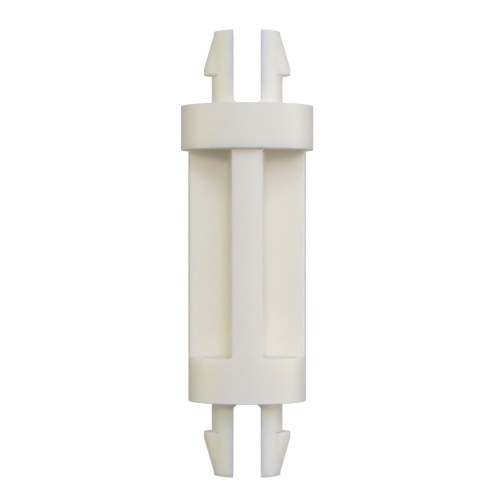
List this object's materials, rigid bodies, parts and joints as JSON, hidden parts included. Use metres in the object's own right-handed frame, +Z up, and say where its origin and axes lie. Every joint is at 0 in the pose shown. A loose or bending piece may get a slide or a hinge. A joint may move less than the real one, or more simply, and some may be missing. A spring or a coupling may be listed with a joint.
{
  "type": "circuit board spacer",
  "caption": "Snap-in nylon spacer: ribbed column between two round collars, with a split barbed snap end on each, to hold a circuit board off a panel.",
  "frame": {"origin": "centre of the lower collar's end face, where it rests on the panel", "axes": "+Z up the column towards the wider collar, +X towards the right-hand prongs, the slots between the prongs run along Y"},
  "size_m": [0.0072, 0.0072, 0.024],
  "materials": {
    "natural_nylon": "matte, slightly translucent"
  },
  "bodies": {
    "pillar": {"lower_collar": "natural_nylon", "lower_snap_base": "natural_nylon", "column_core": "natural_nylon", "front_rib": "natural_nylon", "rear_rib": "natural_nylon", "left_rib": "natural_nylon", "right_rib": "natural_nylon", "upper_snap_base": "natural_nylon", "upper_collar": "natural_nylon"},
    "lower_left_prong": {"lower_left_leg": "natural_nylon", "lower_left_barb": "natural_nylon"},
    "lower_right_prong": {"lower_right_leg": "natural_nylon", "lower_right_barb": "natural_nylon"},
    "upper_left_prong": {"upper_left_leg": "natural_nylon", "upper_left_barb": "natural_nylon"},
    "upper_right_prong": {"upper_right_leg": "natural_nylon", "upper_right_barb": "natural_nylon"}
  },
  "joints": [
    {"name": "lower_left_squeeze", "type": "hinge", "parent": "pillar", "child": "lower_left_prong", "pos_m": [-0.00134, 0, -0.00062], "axis": [0, -1, 0], "range_deg": [0, 12.5], "stiffness_Nm_per_rad": 0.3},
    {"name": "lower_right_squeeze", "type": "hinge", "parent": "pillar", "child": "lower_right_prong", "pos_m": [0.00134, 0, -0.00062], "axis": [0, 1, 0], "range_deg": [0, 12.5], "stiffness_Nm_per_rad": 0.3},
    {"name": "upper_left_squeeze", "type": "hinge", "parent": "pillar", "child": "upper_left_prong", "pos_m": [-0.00134, 0, 0.01662], "axis": [0, 1, 0], "range_deg": [0, 12.5], "stiffness_Nm_per_rad": 0.3},
    {"name": "upper_right_squeeze", "type": "hinge", "parent": "pillar", "child": "upper_right_prong", "pos_m": [0.00134, 0, 0.01662], "axis": [0, -1, 0], "range_deg": [0, 12.5], "stiffness_Nm_per_rad": 0.3}
  ]
}
